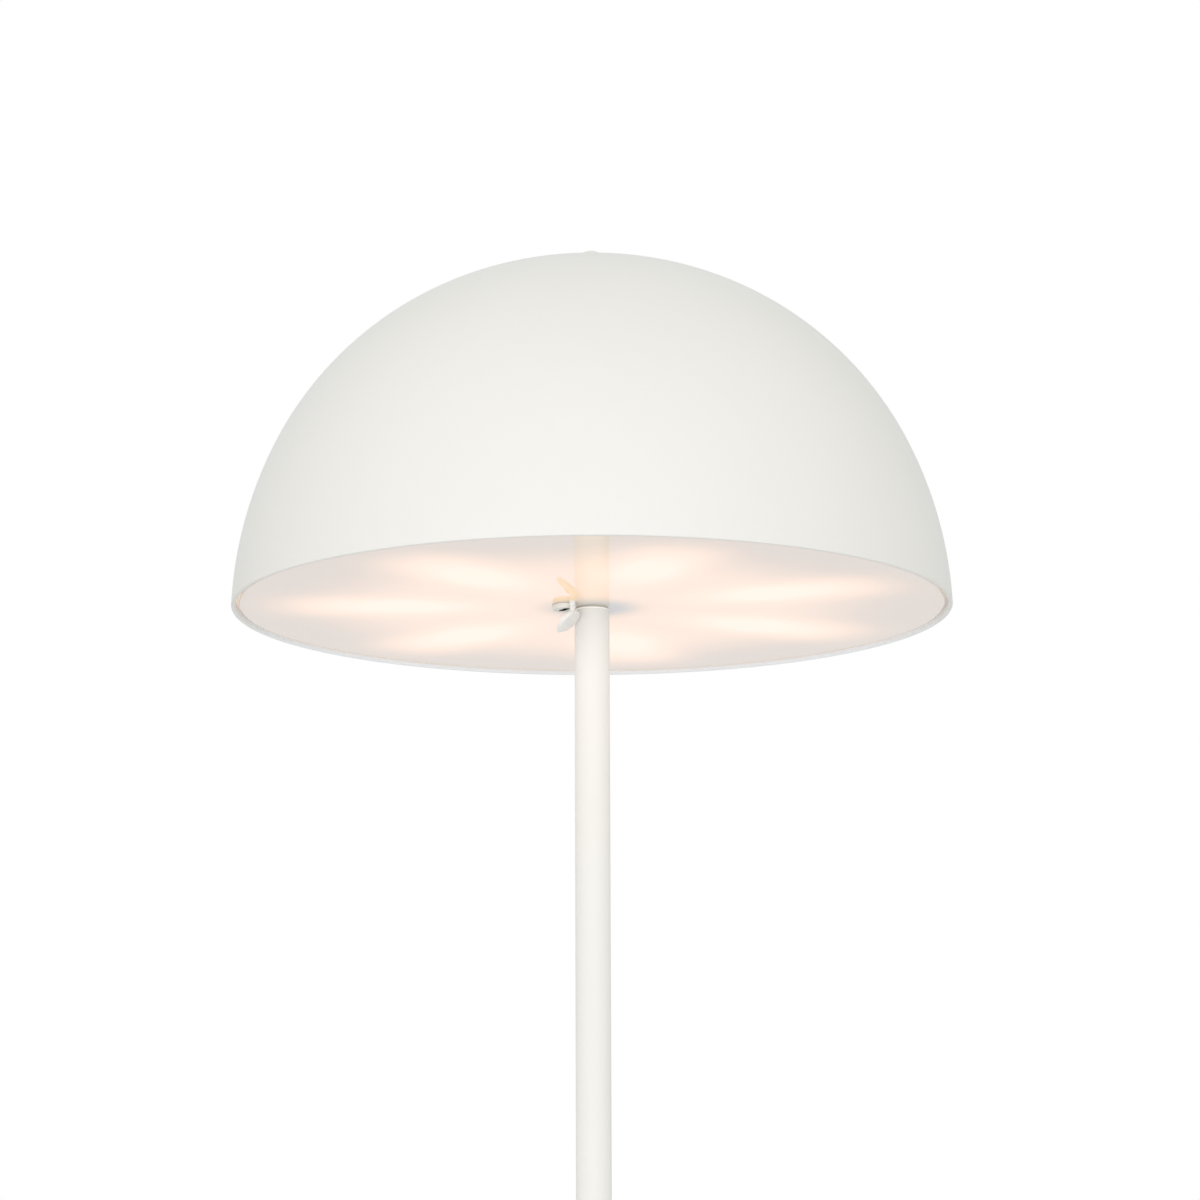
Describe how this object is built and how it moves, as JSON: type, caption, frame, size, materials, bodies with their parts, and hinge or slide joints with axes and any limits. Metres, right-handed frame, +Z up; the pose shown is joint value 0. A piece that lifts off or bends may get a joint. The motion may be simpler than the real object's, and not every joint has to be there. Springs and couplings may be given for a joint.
{
  "type": "outdoor floor lamp",
  "caption": "Cordless outdoor floor lamp: a dome shade closed by a flat opal diffuser on a slim round pole, with a charging port, a rubber cap and a push button on top.",
  "frame": {"origin": "middle of the base pad's underside, on the floor", "axes": "+Z up along the pole, the charging port and its cap on the -Y side, left of the pole"},
  "size_m": [0.3716, 0.3716, 1.5007],
  "materials": {
    "coat": "matte",
    "opal": "gloss",
    "seal_rubber": "matte",
    "cap_rubber": "matte",
    "port_plastic": "satin",
    "socket_plastic": "satin",
    "zinc_steel": "satin",
    "housing_plastic": "matte",
    "circuit_board": "satin",
    "board_metal": "satin",
    "light_chip": "gloss",
    "cell_wrap": "satin",
    "silicone": "satin",
    "switch_plastic": "satin"
  },
  "bodies": {
    "lamp": {"shade_dome": "coat", "pole_lower": "coat", "pole_upper": "coat", "pole_foot": "coat", "base_plate": "coat", "button_bezel": "coat", "diffuser": "opal", "pole_seal": "seal_rubber", "port_seal": "seal_rubber", "crown_washer": "seal_rubber", "base_pad": "seal_rubber", "cap_strap": "cap_rubber", "cap_anchor": "cap_rubber", "port_bezel": "port_plastic", "charging_socket": "socket_plastic", "head_insert": "zinc_steel", "foot_insert": "zinc_steel", "joint_socket": "zinc_steel", "joint_stud": "zinc_steel", "centre_rod": "zinc_steel", "diffuser_nut": "zinc_steel", "can_nut": "zinc_steel", "shade_nut": "zinc_steel", "shade_coupler": "zinc_steel", "base_bolt": "zinc_steel", "hub_base": "housing_plastic", "battery_can": "housing_plastic", "battery_tray": "housing_plastic", "control_board": "circuit_board", "light_board": "board_metal", "light_chips": "light_chip", "battery_cells": "cell_wrap", "button_membrane": "silicone", "switch_body": "switch_plastic", "switch_lead": "switch_plastic"},
    "button": {"power_button": "coat"},
    "cap": {"port_cap": "cap_rubber"}
  },
  "joints": [
    {"name": "power_press", "type": "slide", "parent": "lamp", "child": "button", "axis": [0, 0, -1], "range_m": [0, 0.0015], "stiffness_N_per_m": 1500, "springref_m": -0.0005, "deforming": ["button_membrane"]},
    {"name": "cap_swing", "type": "hinge", "parent": "lamp", "child": "cap", "pos_m": [-0.01007, -0.01857, 1.30515], "axis": [-0.3432, -0.9343, -0.096], "range_deg": [-43.55, 5], "stiffness_Nm_per_rad": 0.01, "deforming": ["cap_strap"]}
  ]
}
